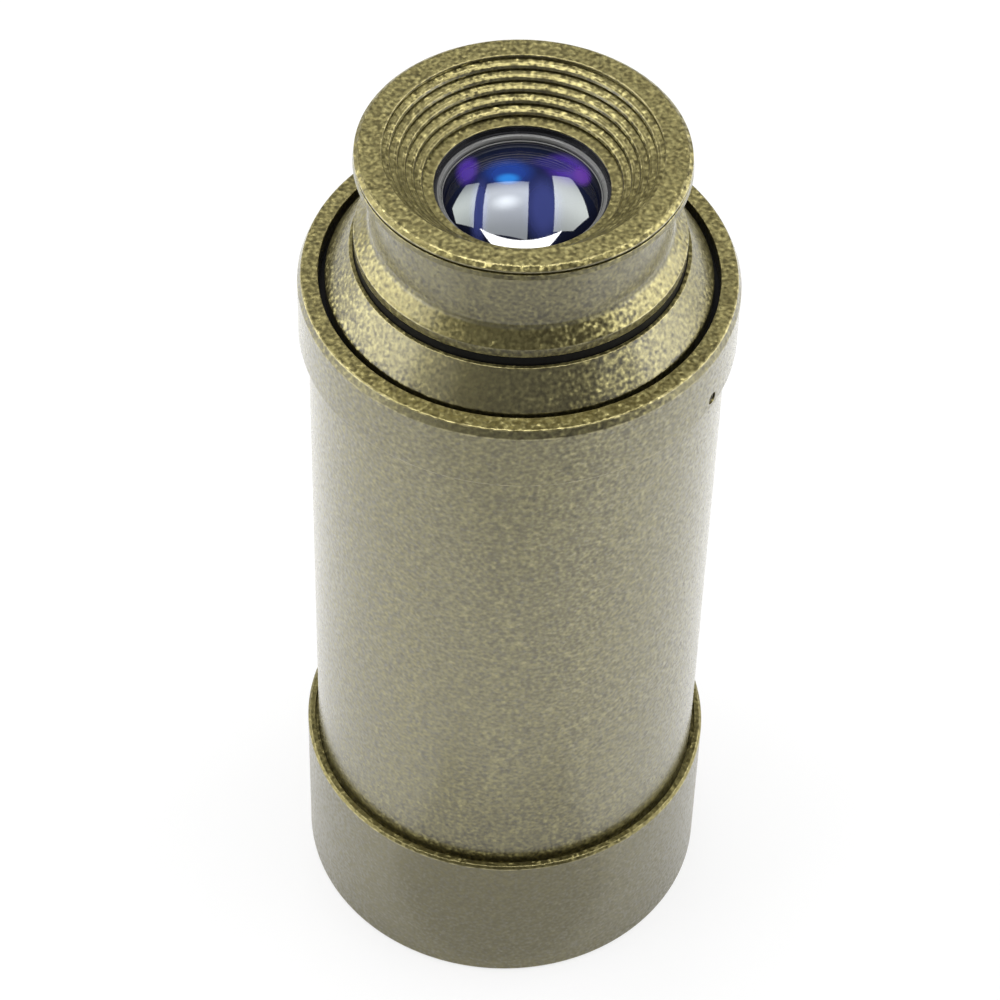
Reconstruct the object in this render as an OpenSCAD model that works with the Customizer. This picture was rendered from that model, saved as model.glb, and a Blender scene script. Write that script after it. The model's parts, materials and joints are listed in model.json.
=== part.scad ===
// Pocket draw telescope, closed, standing on its objective end.
// Sizes are in millimetres. The z axis runs up the line of sight, from the floor to the eye.
// A screwed joint is drawn plain, with the thread clearance between its two walls.

/* [Tubes] */
// Outside diameter of the eye draw tube, the inner of the two sliding tubes
eye_tube_d = 29; // [27:0.5:32]
// Wall of both sliding tubes
draw_wall = 0.8; // [0.7:0.05:1]
// Space between the eye draw tube and the middle draw tube, on the radius
eye_tube_space = 1.2; // [1.1:0.05:1.6]
// Space between the middle draw tube and the barrel tube, on the radius
middle_tube_space = 1.5; // [1.4:0.05:2]
// Wall of the barrel tube
barrel_wall = 1.1; // [1:0.05:1.6]
// Travel of the middle draw, from its seat to its stop
middle_travel = 34.9; // [33:0.1:40]
// Travel of the eye draw, from its seat to its stop
eye_travel = 33.9; // [28:0.1:36]

/* [Barrel] */
// Height of the barrel, from the floor to the top of its end collar
barrel_height = 80.9; // [74:0.1:100]
// How far the end collar stands proud of the barrel tube
collar_proud = 0.9; // [0.75:0.05:1.5]
// How far the bezel stands proud of the barrel tube
bezel_proud = 1.1; // [0.95:0.05:1.7]
// Height of the objective bezel
bezel_height = 17.7; // [16.5:0.1:24]
// Height of the end collar
collar_height = 6.9; // [6:0.1:9]
// Depth of the recess in the collar's top that holds the foot of the middle draw's collar
collar_recess = 1.9; // [1.4:0.1:2.4]
// Width of the ring of shadow round the foot of the middle draw's collar
collar_shadow = 0.6; // [0.3:0.05:0.9]
// Diameter of the set screw that locks the end collar
set_screw_d = 1.1; // [0.8:0.1:1.4]
// Distance from the collar's foot to the set screw's hole
set_screw_height = 0.65; // [0.4:0.05:1.5]
// Angle of the set screw round the barrel, counted from the x axis
set_screw_angle = -29; // [-180:1:180]

/* [Objective] */
// Clear diameter of the objective
objective_d = 30; // [25:0.5:31]
// Depth of the objective's seat behind the front face
objective_seat = 3; // [2.6:0.1:4]
// Width of the lens edge that rests on the seat
objective_edge = 0.75; // [0.5:0.05:1]
// Radius of curvature of the front surface
objective_front_curve = 60; // [52:1:90]
// Radius of curvature of the cemented surface
objective_cement_curve = 45; // [42:1:80]
// Radius of curvature of the rear surface
objective_rear_curve = 160; // [120:5:300]
// Thickness of the crown lens at its edge
crown_edge = 1.5; // [1:0.1:2]
// Thickness of the flint lens in the middle
flint_middle = 2.2; // [1.8:0.1:2.6]

/* [Draws] */
// Length of the barrel's guide bush, with its flange
barrel_bush_length = 7; // [5.5:0.5:9]
// Length of the middle draw's guide bush, up to the top of its flange
middle_bush_length = 6.2; // [5.2:0.1:8]
// Thickness of the bush flanges
bush_flange = 0.8; // [0.6:0.05:1]
// Height of the stop rings at the inner ends of the draws
stop_ring_height = 4; // [3.6:0.1:6]
// Height of the split slide rings
slide_ring_height = 2; // [1.6:0.1:2.4]
// Height of the straight foot of the middle draw's collar
cone_foot = 1.7; // [1.5:0.05:2.5]
// Height of the cone of the middle draw's collar
cone_height = 3.4; // [2.8:0.1:4.5]
// How far the cone's foot stands proud of the middle draw tube
cone_proud = 1; // [0.9:0.05:1.4]
// Width of the cone's top edge
cone_lip = 0.35; // [0.2:0.05:0.5]
// Height of the black neck that shows between the cone and the eyepiece
bush_neck_height = 0.9; // [0.8:0.1:2]

/* [Eyepiece] */
// Height of the eyepiece housing above its seat
housing_height = 10; // [9:0.1:12]
// Height of the straight side of the housing's foot flange
flange_height = 1.1; // [0.6:0.1:1.4]
// How far the foot flange stands proud of the eye draw tube
flange_proud = 0.4; // [0.3:0.05:0.8]
// How far the neck is set in from the eye draw tube
neck_inset = 1; // [0.6:0.05:1.3]
// Wall of the neck round the eyecup's plug
neck_wall = 0.85; // [0.7:0.05:1.1]
// How far the eyecup's rim stands proud of the neck
rim_proud = 1.3; // [0.9:0.05:2]
// Thickness of the eyecup's rim
rim_thickness = 0.5; // [0.35:0.05:0.8]
// Wall of the eyecup at its mouth
eyecup_wall = 0.5; // [0.4:0.05:0.8]
// Depth of the eyecup's funnel
funnel_depth = 4.2; // [3.8:0.1:4.6]
// Number of steps in the funnel
funnel_steps = 6; // [4:1:8]
// Clear diameter of the eye lens
eye_lens_d = 14.6; // [11:0.2:16]
// Radius of curvature of the eye lens
eye_lens_curve = 17.5; // [16:0.5:24]
// Radius of curvature of the field lens
field_lens_curve = 22; // [18:0.5:30]
// Clear diameter of the field stop
field_stop_d = 11; // [8:0.5:13]

/* [Erector] */
// Length of the erector cell
erector_length = 26; // [22:1:28]
// Diameter of the erector lenses
erector_lens_d = 15.6; // [13:0.2:17]
// Radius of curvature of the erector lenses
erector_curve = 26; // [18:1:40]
// Clear diameter of the erector stop
erector_stop_d = 6; // [4:0.5:8]

/* [Fits] */
// Gap between a sliding tube and its bush, on the radius
running_fit = 0.08; // [0.05:0.01:0.1]
// Gap between the two walls of a screwed joint, or round a lens in its bore, on the radius
thread_fit = 0.05; // [0.03:0.01:0.1]
// Gap between two flat faces that meet when a draw is pushed home
seat_gap = 0.02; // [0.01:0.01:0.1]
// Gap that is left at a stop when a draw is fully out
stop_gap = 0.1; // [0.05:0.01:0.3]

/* [Hidden] */
$fn = 128;
bronze = [0.56, 0.53, 0.42];
black = [0.09, 0.09, 0.1];
bare_metal = [0.72, 0.72, 0.74];
clear_glass = [0.72, 0.82, 0.92, 0.5];
coated_glass = [0.25, 0.25, 0.75, 0.6];

// Height of a spherical cap whose sphere has the given radius, at a distance r from its axis
function sag(curve, r) = curve - sqrt(curve * curve - r * r);

// Points on a circular arc, in the plane of a turned profile
function arc(centre, radius, from, to, count) =
    [for (i = [0:count]) let (a = from + (to - from) * i / count)
        centre + radius * [cos(a), sin(a)]];

// Radii of the tubes, from the inside out
eye_tube_r = eye_tube_d / 2;
eye_bore_r = eye_tube_r - draw_wall;
middle_bore_r = eye_tube_r + eye_tube_space;
middle_tube_r = middle_bore_r + draw_wall;
barrel_bore_r = middle_tube_r + middle_tube_space;
barrel_r = barrel_bore_r + barrel_wall;
collar_r = barrel_r + collar_proud;
bezel_r = barrel_r + bezel_proud;
socket_r = barrel_r + thread_fit;

// Edges that break the sharp corners of the turned parts, and the steep one round the collar
edge = 0.3;
fine_edge = 0.1;
collar_edge = [0.35, 0.8];

// How far a cutting shape runs past the solid that it cuts
over = 1;

// Heights up the barrel
middle_seat = barrel_height - collar_recess;
barrel_bush_flange = 1;
barrel_tube_top = middle_seat - barrel_bush_flange;
barrel_bush_bottom = middle_seat - barrel_bush_length;
collar_foot = barrel_height - collar_height;
collar_mouth_r = middle_tube_r + cone_proud + collar_shadow;

// The set screw, sunk under the collar's side, with a small socket in its head
set_screw_r = set_screw_d / 2;
set_screw_depth = 0.5;
set_screw_sink = 0.15;
set_screw_tip = barrel_r - set_screw_depth;
set_screw_head = collar_r - set_screw_sink;
set_screw_socket_r = set_screw_d / 5;
set_screw_socket_depth = 0.4;

// The objective: two cemented lenses held against the bezel's seat by a ring
lens_seat_r = objective_d / 2;
lens_r = lens_seat_r + objective_edge;
lens_bore_r = lens_r + thread_fit;
crown_front = objective_seat - sag(objective_front_curve, lens_seat_r);
crown_back_edge = crown_front + sag(objective_front_curve, lens_r) + crown_edge;
cement_top = crown_back_edge + sag(objective_cement_curve, lens_r);
flint_top = cement_top + flint_middle;
objective_ring_overlap = 0.4;
objective_ring_r = lens_seat_r - objective_ring_overlap;
objective_ring_foot = flint_top - sag(objective_rear_curve, objective_ring_r);
objective_ring_height = 2.4;
objective_ring_top = objective_ring_foot + objective_ring_height;
bezel_spare_thread = 0.5;
bezel_shoulder = objective_ring_top + bezel_spare_thread;
mouth_chamfer = 1.5;
bezel_bevel = 0.25;
bezel_land = 0.5;
bezel_groove_depth = 0.8;
spanner_slot = [1.2, 0.9];

// The middle draw
middle_foot = middle_seat + seat_gap;
cone_foot_r = middle_tube_r + cone_proud;
cone_foot_top = middle_seat + cone_foot;
cone_top = cone_foot_top + cone_height;
bush_neck_wall = 0.4;
bush_neck_r = eye_tube_r + bush_neck_wall;
cone_top_r = bush_neck_r + thread_fit + cone_lip;
bush_clamp_height = 2.2;
middle_flange_top = middle_foot + bush_clamp_height;
middle_tube_top = middle_flange_top - bush_flange;
middle_bush_bottom = middle_flange_top - middle_bush_length;
middle_stop_top = barrel_bush_bottom - middle_travel - stop_gap;
middle_bottom = middle_stop_top - stop_ring_height;
stop_lip = 0.6;
middle_lip_width = 1;
stop_side_gap = 0.4;
groove_wall = 0.45;
slide_ring_gap = 1.2;

// The eye draw
eye_seat = cone_top + bush_neck_height;
eye_foot = eye_seat + seat_gap;
eye_stop_top = middle_bush_bottom - eye_travel - stop_gap;
eye_bottom = eye_stop_top - stop_ring_height;
eye_lip_width = 1.5;

// The erector: two lenses and a stop in a cell at the inner end of the eye draw
cell_foot = eye_bottom + stop_lip;
cell_top = cell_foot + erector_length;
cell_flange_height = 3;
erector_lens_r = erector_lens_d / 2;
erector_bore_r = erector_lens_r + thread_fit;
erector_seat_width = 1;
erector_seat_r = erector_lens_r - erector_seat_width;
erector_lens_edge = 1.4;
erector_seat_depth = 4.6;
erector_ring_height = 1.6;
erector_ring_width = 0.8;
erector_ring_r = erector_lens_r - erector_ring_width;
erector_ring_drop = sag(erector_curve, erector_lens_r) - sag(erector_curve, erector_ring_r);
cell_wall = 1.4;
stop_shelf = cell_foot + erector_length / 2;
erector_stop_thickness = 0.6;
stop_shelf_width = 0.6;
stop_shelf_height = 1;

// The eyepiece housing, from its foot flange up the neck to the band under the rim
flange_r = eye_tube_r + flange_proud;
flange_top = eye_foot + flange_height;
flange_edge = 0.2;
chamfer_height = 1;
neck_step = 0.2;
neck_r = eye_tube_r - neck_inset;
neck_foot = flange_top + chamfer_height;
neck_foot_r = neck_r + neck_step;
housing_top = eye_foot + housing_height;
band_lip = 0.1;
band_height = 0.7;
cove_height = 1.3;
cove_parts = 6;
rim_r = neck_r + rim_proud;
band_r = rim_r + band_lip;
band_foot = housing_top - band_height;
cove_foot = band_foot - cove_height;

// The eyecup, screwed into the neck, with a line of shadow under its rim
rim_gap = 0.1;
rim_round = min(0.4, rim_thickness - fine_edge);
rim_round_parts = 4;
rim_foot = housing_top + rim_gap;
rim_top = rim_foot + rim_thickness;
plug_bore_r = neck_r - neck_wall;
plug_r = plug_bore_r - thread_fit;
mouth_r = plug_r - eyecup_wall;
funnel_foot = rim_top - funnel_depth;
funnel_lip = 0.35;
eyecup_foot = funnel_foot - funnel_lip;
eye_clear_r = eye_lens_d / 2;
funnel_margin = 0.5;
funnel_foot_r = eye_clear_r + funnel_margin;
step_height = funnel_depth / funnel_steps;
step_width = (mouth_r - funnel_foot_r) / funnel_steps;
step_nose = 0.4 * min(step_width, step_height);
nose_parts = 4;

// The eye lens on its shelf, and the ring that holds it down
eye_lens_depth = 1.55;
eye_lens_margin = 1.1;
eye_lens_edge = 1.8;
eye_lens_r = eye_clear_r + eye_lens_margin;
eye_lens_edge_z = funnel_foot - eye_lens_depth;
eye_lens_top = eye_lens_edge_z + sag(eye_lens_curve, eye_clear_r);
eye_shelf_top = eye_lens_top - sag(eye_lens_curve, eye_lens_r) - eye_lens_edge;
eye_shelf = 0.8;
eye_shelf_width = 0.6;
eye_shelf_r = eye_lens_r - eye_shelf_width;
eye_ring_seat = 0.6;
eye_ring_r = eye_lens_r + eye_ring_seat;
eye_ring_bore_r = funnel_foot_r + thread_fit;
eye_ring_step = 0.15;
eye_ring_step_r = eye_clear_r + eye_ring_step;
eye_ring_steps = [0.1, 0.2, 0.4, 0.75];

// The field lens group in the nose of the housing
nose_length = 9.5;
nose_wall = 1.6;
spigot_length = 5.5;
field_lens_margin = 0.3;
field_ring_inset = 0.2;
field_ring_height = 1.5;
field_lens_edge = 1.6;
field_lens_r = eye_lens_r + field_lens_margin;
field_bore_r = field_lens_r + thread_fit;
nose_foot = eye_foot - nose_length;
nose_r = field_bore_r + nose_wall;
spigot_foot = eye_foot - spigot_length;
spigot_r = eye_bore_r - thread_fit;
field_ring_foot = nose_foot + field_ring_inset;
field_lens_foot = field_ring_foot + field_ring_height;
field_lens_top = field_lens_foot + field_lens_edge + sag(field_lens_curve, field_lens_r);
spacer_foot = field_lens_top - sag(field_lens_curve, eye_shelf_r);
spacer_top = eye_shelf_top - eye_shelf;

// A solid turned about the z axis from points given as [radius, height]
module turned(points) {
    rotate_extrude()
        polygon(points);
}

// A plain ring between two radii and two heights
module ring(inner, outer, foot, top) {
    turned([[inner, foot], [outer, foot], [outer, top], [inner, top]]);
}

// A retaining ring with two slots for a spanner in its open end
module slotted_ring(inner, outer, foot, top, slots_up) {
    slot_z = slots_up ? top - spanner_slot[1] : foot - over;
    difference() {
        ring(inner, outer, foot, top);
        translate([-outer - over, -spanner_slot[0] / 2, slot_z])
            cube([2 * (outer + over), spanner_slot[0], spanner_slot[1] + over]);
    }
}

// A lens with one flat side at the given height and a dome on the other
module domed_lens(r, curve, flat_z, edge_height, dome_up) {
    dome = edge_height + sag(curve, r);
    translate([0, 0, flat_z])
        mirror([0, 0, dome_up ? 0 : 1])
            intersection() {
                cylinder(r = r, h = dome);
                translate([0, 0, dome - curve])
                    sphere(r = curve);
            }
}

// The ring that a split slide ring turns in, screwed to the inner end of a draw tube
module stop_ring(tube_r, bore_r, lip_width, bottom, top) {
    outer_r = bore_r - stop_side_gap;
    groove_r = tube_r + thread_fit + groove_wall;
    slide_foot = bottom + (top - bottom - slide_ring_height) / 2;
    lip_r = tube_r - lip_width;
    turned([[lip_r, bottom], [outer_r - edge / 2, bottom], [outer_r, bottom + edge / 2],
        [outer_r, slide_foot - thread_fit], [groove_r, slide_foot - thread_fit],
        [groove_r, slide_foot + slide_ring_height + thread_fit],
        [outer_r, slide_foot + slide_ring_height + thread_fit], [outer_r, top],
        [tube_r + thread_fit, top], [tube_r + thread_fit, bottom + stop_lip],
        [lip_r, bottom + stop_lip]]);
}

// A split ring that fills the groove of a stop ring and slides in the bore round it
module slide_ring(tube_r, bore_r, bottom, top) {
    inner_r = tube_r + 2 * thread_fit + groove_wall;
    outer_r = bore_r - running_fit;
    foot = bottom + (top - bottom - slide_ring_height) / 2;
    difference() {
        ring(inner_r, outer_r, foot, foot + slide_ring_height);
        translate([0, -slide_ring_gap / 2, foot - over])
            cube([bore_r + over, slide_ring_gap, slide_ring_height + 2 * over]);
    }
}

// A round hole or plug along the set screw's axis, between two distances from the barrel's axis
module along_set_screw(r, from, to) {
    rotate([0, 0, set_screw_angle])
        translate([from, 0, collar_foot + set_screw_r + set_screw_height])
            rotate([0, 90, 0])
                cylinder(r = r, h = to - from);
}

module objective_bezel() {
    groove_r = bezel_r - bezel_bevel - bezel_land;
    groove_foot = bezel_height - bezel_groove_depth;
    color(bronze)
        turned([[lens_seat_r + mouth_chamfer, 0], [bezel_r - edge, 0], [bezel_r, edge],
            [bezel_r, bezel_height - bezel_bevel], [bezel_r - bezel_bevel, bezel_height],
            [groove_r, bezel_height], [groove_r, groove_foot], [socket_r, groove_foot],
            [socket_r, bezel_shoulder],
            [lens_bore_r, bezel_shoulder], [lens_bore_r, objective_seat],
            [lens_seat_r, objective_seat], [lens_seat_r, mouth_chamfer]]);
}

module objective_crown_lens() {
    color(clear_glass)
        intersection() {
            translate([0, 0, crown_front + objective_front_curve])
                sphere(r = objective_front_curve);
            translate([0, 0, cement_top - objective_cement_curve])
                sphere(r = objective_cement_curve);
            cylinder(r = lens_r, h = cement_top + over);
        }
}

module objective_flint_lens() {
    color(clear_glass)
        difference() {
            intersection() {
                cylinder(r = lens_r, h = flint_top + over);
                translate([0, 0, flint_top - objective_rear_curve])
                    sphere(r = objective_rear_curve);
            }
            translate([0, 0, cement_top - objective_cement_curve])
                sphere(r = objective_cement_curve);
        }
}

module objective_retaining_ring() {
    color(black)
        slotted_ring(objective_ring_r, lens_r, objective_ring_foot, objective_ring_top, true);
}

module barrel_tube() {
    color(bronze)
        difference() {
            ring(barrel_bore_r, barrel_r, bezel_shoulder, barrel_tube_top);
            along_set_screw(set_screw_r + thread_fit, set_screw_tip, collar_r);
        }
}

module barrel_end_collar() {
    color(bronze)
        difference() {
            turned([[socket_r, collar_foot], [collar_r - edge / 2, collar_foot],
                [collar_r, collar_foot + edge / 2], [collar_r, barrel_height - collar_edge[1]],
                [collar_r - collar_edge[0], barrel_height], [collar_mouth_r, barrel_height],
                [collar_mouth_r, middle_seat], [socket_r, middle_seat]]);
            along_set_screw(set_screw_r + thread_fit, set_screw_tip, collar_r + over);
        }
}

module collar_set_screw() {
    color(black)
        difference() {
            along_set_screw(set_screw_r, set_screw_tip, set_screw_head);
            along_set_screw(set_screw_socket_r, set_screw_head - set_screw_socket_depth,
                set_screw_head + over);
        }
}

module barrel_guide_bush() {
    bush_r = barrel_bore_r - thread_fit;
    color(black)
        turned([[middle_tube_r + running_fit, barrel_bush_bottom], [bush_r, barrel_bush_bottom],
            [bush_r, barrel_tube_top], [barrel_r, barrel_tube_top], [barrel_r, middle_seat],
            [middle_tube_r + running_fit, middle_seat]]);
}

module middle_slide_ring() {
    color(black)
        slide_ring(middle_tube_r, barrel_bore_r, middle_bottom, middle_stop_top);
}

module middle_draw_tube() {
    color(bronze)
        ring(middle_bore_r, middle_tube_r, middle_bottom + stop_lip, middle_tube_top);
}

module middle_draw_stop_ring() {
    color(bare_metal)
        stop_ring(middle_tube_r, barrel_bore_r, middle_lip_width, middle_bottom,
            middle_stop_top);
}

module middle_draw_end_collar() {
    bore_r = middle_tube_r + thread_fit;
    neck_bore_r = bush_neck_r + thread_fit;
    color(bronze)
        turned([[bore_r, middle_foot], [cone_foot_r, middle_foot], [cone_foot_r, cone_foot_top],
            [cone_top_r, cone_top], [neck_bore_r, cone_top], [neck_bore_r, middle_flange_top],
            [bore_r, middle_flange_top]]);
}

module middle_draw_guide_bush() {
    inner_r = eye_tube_r + running_fit;
    bush_r = middle_bore_r - thread_fit;
    color(black)
        turned([[inner_r, middle_bush_bottom], [bush_r, middle_bush_bottom],
            [bush_r, middle_tube_top], [middle_tube_r, middle_tube_top],
            [middle_tube_r, middle_flange_top], [bush_neck_r, middle_flange_top],
            [bush_neck_r, eye_seat], [inner_r, eye_seat]]);
}

module eye_slide_ring() {
    color(black)
        slide_ring(eye_tube_r, middle_bore_r, eye_bottom, eye_stop_top);
}

module eye_draw_tube() {
    color(bronze)
        ring(eye_bore_r, eye_tube_r, eye_bottom + stop_lip, eye_foot);
}

module eye_draw_stop_ring() {
    color(bare_metal)
        stop_ring(eye_tube_r, middle_bore_r, eye_lip_width, eye_bottom, eye_stop_top);
}

module erector_cell() {
    flange_edge_r = eye_bore_r - thread_fit;
    body_r = erector_bore_r + cell_wall;
    front_seat = cell_foot + erector_seat_depth;
    rear_seat = cell_top - erector_seat_depth;
    shelf_r = erector_seat_r - stop_shelf_width;
    color(black)
        turned([[erector_bore_r, cell_foot], [flange_edge_r, cell_foot],
            [flange_edge_r, cell_foot + cell_flange_height],
            [body_r, cell_foot + cell_flange_height], [body_r, cell_top],
            [erector_bore_r, cell_top], [erector_bore_r, rear_seat], [erector_seat_r, rear_seat],
            [erector_seat_r, stop_shelf], [shelf_r, stop_shelf],
            [shelf_r, stop_shelf - stop_shelf_height],
            [erector_seat_r, stop_shelf - stop_shelf_height],
            [erector_seat_r, front_seat], [erector_bore_r, front_seat]]);
}

module erector_front_lens() {
    color(clear_glass)
        domed_lens(erector_lens_r, erector_curve, cell_foot + erector_seat_depth,
            erector_lens_edge, false);
}

module erector_front_ring() {
    top = cell_foot + erector_seat_depth - erector_lens_edge - erector_ring_drop;
    color(black)
        slotted_ring(erector_ring_r, erector_lens_r, top - erector_ring_height, top, false);
}

module erector_stop() {
    color(black)
        ring(erector_stop_d / 2, erector_seat_r - thread_fit, stop_shelf,
            stop_shelf + erector_stop_thickness);
}

module erector_rear_lens() {
    color(clear_glass)
        domed_lens(erector_lens_r, erector_curve, cell_top - erector_seat_depth,
            erector_lens_edge, true);
}

module erector_rear_ring() {
    foot = cell_top - erector_seat_depth + erector_lens_edge + erector_ring_drop;
    color(black)
        slotted_ring(erector_ring_r, erector_lens_r, foot, foot + erector_ring_height, true);
}

module eyepiece_housing() {
    cove_r = band_r - neck_r;
    cove = [for (i = [0:cove_parts]) let (a = 90 * i / cove_parts)
        [neck_r + cove_r * (1 - cos(a)), cove_foot + (band_foot - cove_foot) * sin(a)]];
    color(bronze)
        turned(concat([[field_bore_r, nose_foot], [nose_r, nose_foot], [nose_r, spigot_foot],
            [spigot_r, spigot_foot], [spigot_r, eye_foot], [flange_r, eye_foot],
            [flange_r, flange_top - flange_edge], [flange_r - flange_edge, flange_top],
            [neck_foot_r, neck_foot], [neck_r, neck_foot]], cove,
            [[band_r, housing_top - fine_edge], [band_r - fine_edge, housing_top],
            [plug_bore_r, housing_top], [plug_bore_r, eyecup_foot],
            [eye_ring_r + thread_fit, eyecup_foot], [eye_ring_r + thread_fit, eye_lens_edge_z],
            [eye_lens_r + thread_fit, eye_lens_edge_z], [eye_lens_r + thread_fit, eye_shelf_top],
            [eye_shelf_r, eye_shelf_top], [eye_shelf_r, spacer_top], [field_bore_r, spacer_top]]));
}

module field_stop_ring() {
    color(black)
        slotted_ring(field_stop_d / 2, field_lens_r, field_ring_foot, field_lens_foot, false);
}

module field_lens() {
    color(clear_glass)
        domed_lens(field_lens_r, field_lens_curve, field_lens_foot, field_lens_edge, true);
}

module eyepiece_spacer() {
    color(black)
        ring(eye_shelf_r, field_lens_r, spacer_foot, spacer_top);
}

module eye_lens() {
    color(coated_glass)
        domed_lens(eye_lens_r, eye_lens_curve, eye_shelf_top, eye_lens_edge, true);
}

module eye_lens_retaining_ring() {
    color(black)
        turned([[eye_clear_r, eye_lens_edge_z], [eye_ring_r, eye_lens_edge_z],
            [eye_ring_r, eyecup_foot], [eye_ring_bore_r, eyecup_foot],
            [eye_ring_bore_r, eye_lens_edge_z + eye_ring_steps[3]],
            [eye_ring_step_r, eye_lens_edge_z + eye_ring_steps[2]],
            [eye_ring_step_r, eye_lens_edge_z + eye_ring_steps[1]],
            [eye_clear_r, eye_lens_edge_z + eye_ring_steps[0]]]);
}

module eyecup() {
    steps = [for (i = [0:funnel_steps - 1])
        let (r = mouth_r - i * step_width, z = rim_top - (i + 1) * step_height)
        each concat([[r, z]],
            arc([r - step_width + step_nose, z - step_nose], step_nose, 90, 180, nose_parts))];
    rim_edge = arc([rim_r - rim_round, rim_top - rim_round], rim_round, 0, 90, rim_round_parts);
    color(bronze)
        turned(concat([[plug_r, eyecup_foot], [plug_r, rim_foot], [rim_r - fine_edge, rim_foot],
            [rim_r, rim_foot + fine_edge]], rim_edge, [[mouth_r, rim_top]], steps,
            [[funnel_foot_r, eyecup_foot]]));
}

objective_bezel();
objective_crown_lens();
objective_flint_lens();
objective_retaining_ring();
barrel_tube();
barrel_end_collar();
collar_set_screw();
barrel_guide_bush();
middle_slide_ring();
middle_draw_tube();
middle_draw_stop_ring();
middle_draw_end_collar();
middle_draw_guide_bush();
eye_slide_ring();
eye_draw_tube();
eye_draw_stop_ring();
erector_cell();
erector_front_lens();
erector_front_ring();
erector_stop();
erector_rear_lens();
erector_rear_ring();
eyepiece_housing();
field_stop_ring();
field_lens();
eyepiece_spacer();
eye_lens();
eye_lens_retaining_ring();
eyecup();
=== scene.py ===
# %% [markdown]
# # A pocket draw telescope in speckled bronze enamel
# The telescope stands closed on its objective end and is seen from above. Every solid of it comes
# packed from the CAD model, and this notebook dresses that frame: it turns the outer pieces again
# with softly rounded edges, gives every piece a finish, and sets up a small studio.
# The frame is loaded first, because most sizes below are read from it.

# %% Load the frame
import json
import math
import bmesh
import bpy
from mathutils import Matrix, Vector


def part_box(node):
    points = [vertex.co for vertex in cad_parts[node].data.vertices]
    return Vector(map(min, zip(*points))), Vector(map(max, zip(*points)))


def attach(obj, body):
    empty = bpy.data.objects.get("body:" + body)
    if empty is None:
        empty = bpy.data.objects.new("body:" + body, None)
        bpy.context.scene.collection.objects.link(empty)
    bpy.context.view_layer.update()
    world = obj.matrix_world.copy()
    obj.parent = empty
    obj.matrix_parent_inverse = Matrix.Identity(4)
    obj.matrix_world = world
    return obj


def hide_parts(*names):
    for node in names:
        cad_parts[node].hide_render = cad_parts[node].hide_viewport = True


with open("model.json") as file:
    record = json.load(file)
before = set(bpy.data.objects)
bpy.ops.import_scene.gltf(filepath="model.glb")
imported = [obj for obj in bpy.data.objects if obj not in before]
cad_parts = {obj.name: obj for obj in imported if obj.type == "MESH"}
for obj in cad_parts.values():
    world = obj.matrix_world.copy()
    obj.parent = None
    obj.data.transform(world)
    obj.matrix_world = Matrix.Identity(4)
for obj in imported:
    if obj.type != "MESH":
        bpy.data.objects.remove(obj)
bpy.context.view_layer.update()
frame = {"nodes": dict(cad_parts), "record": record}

# %% [markdown]
# Blender counts in metres, but a telescope is easier to think of in millimetres. Everything here
# is turned on a lathe, so three numbers say most about a piece: its largest radius, its foot and
# its top. They are read from the boxes of the CAD nodes, so a changed model changes them too.

# %% Read a turned piece's size from the frame
MM = 0.001


def turned_size(node):
    low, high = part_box(node)
    return (high[0] - low[0]) / 2 / MM, low[2] / MM, high[2] / MM


BEZEL_R, BEZEL_FOOT, BEZEL_TOP = turned_size("objective_bezel")
BARREL_R, BARREL_FOOT, BARREL_TOP = turned_size("barrel_tube")
COLLAR_R, COLLAR_FOOT, COLLAR_TOP = turned_size("barrel_end_collar")
CONE_R, CONE_FOOT, CONE_TOP = turned_size("middle_draw_end_collar")
_, HOUSING_FOOT, HOUSING_TOP = turned_size("eyepiece_housing")
CUP_R, CUP_FOOT, CUP_TOP = turned_size("eyecup")
LENS_R, LENS_FOOT, LENS_TOP = turned_size("eye_lens")
RING_R, RING_FOOT, RING_TOP = turned_size("eye_lens_retaining_ring")
MIDDLE_TUBE_R = turned_size("middle_draw_tube")[0]
EYE_TUBE_R, _, EYE_TUBE_TOP = turned_size("eye_draw_tube")
print(f"bezel {BEZEL_R * 2:.1f} mm across, closed length {CUP_TOP:.2f} mm")

# %% [markdown]
# A finish is a little sum of textures, and sums read best as sums. This class wraps one output of
# a shader node, so that `1 - mask` or `speck * 0.4 + 0.3` adds the Math nodes by itself. The
# reflected forms, such as `__rsub__`, are what lets the plain number stand on the left.


# %% Shader values that add and multiply
class Wire:
    def __init__(self, finish, socket):
        self.finish, self.socket = finish, socket

    def _math(self, operation, *values):
        return self.finish.node(
            "ShaderNodeMath", {"operation": operation}, dict(enumerate(values))
        )

    def __add__(self, other):
        return self._math("ADD", self, other)

    def __sub__(self, other):
        return self._math("SUBTRACT", self, other)

    def __rsub__(self, other):
        return self._math("SUBTRACT", other, self)

    def __mul__(self, other):
        return self._math("MULTIPLY", self, other)

    def __truediv__(self, other):
        return self._math("DIVIDE", self, other)

    def __rtruediv__(self, other):
        return self._math("DIVIDE", other, self)

    __radd__, __rmul__ = __add__, __mul__

    def clip(self, low, high):
        """0 below low, 1 above high, and a smooth rise between them."""
        return self.finish.node(
            "ShaderNodeMapRange",
            {"interpolation_type": "SMOOTHSTEP"},
            {"Value": self, "From Min": low, "From Max": high},
        )


# %% [markdown]
# Any other node comes from one method. It takes the node's type, then its settings, which have to
# be set first because some of them change the sockets, and then what goes into the sockets: a
# number, a colour, or a wire from another node. Colours are mixed and vectors added by nodes of
# their own, because a Math node would turn a colour grey.


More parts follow.
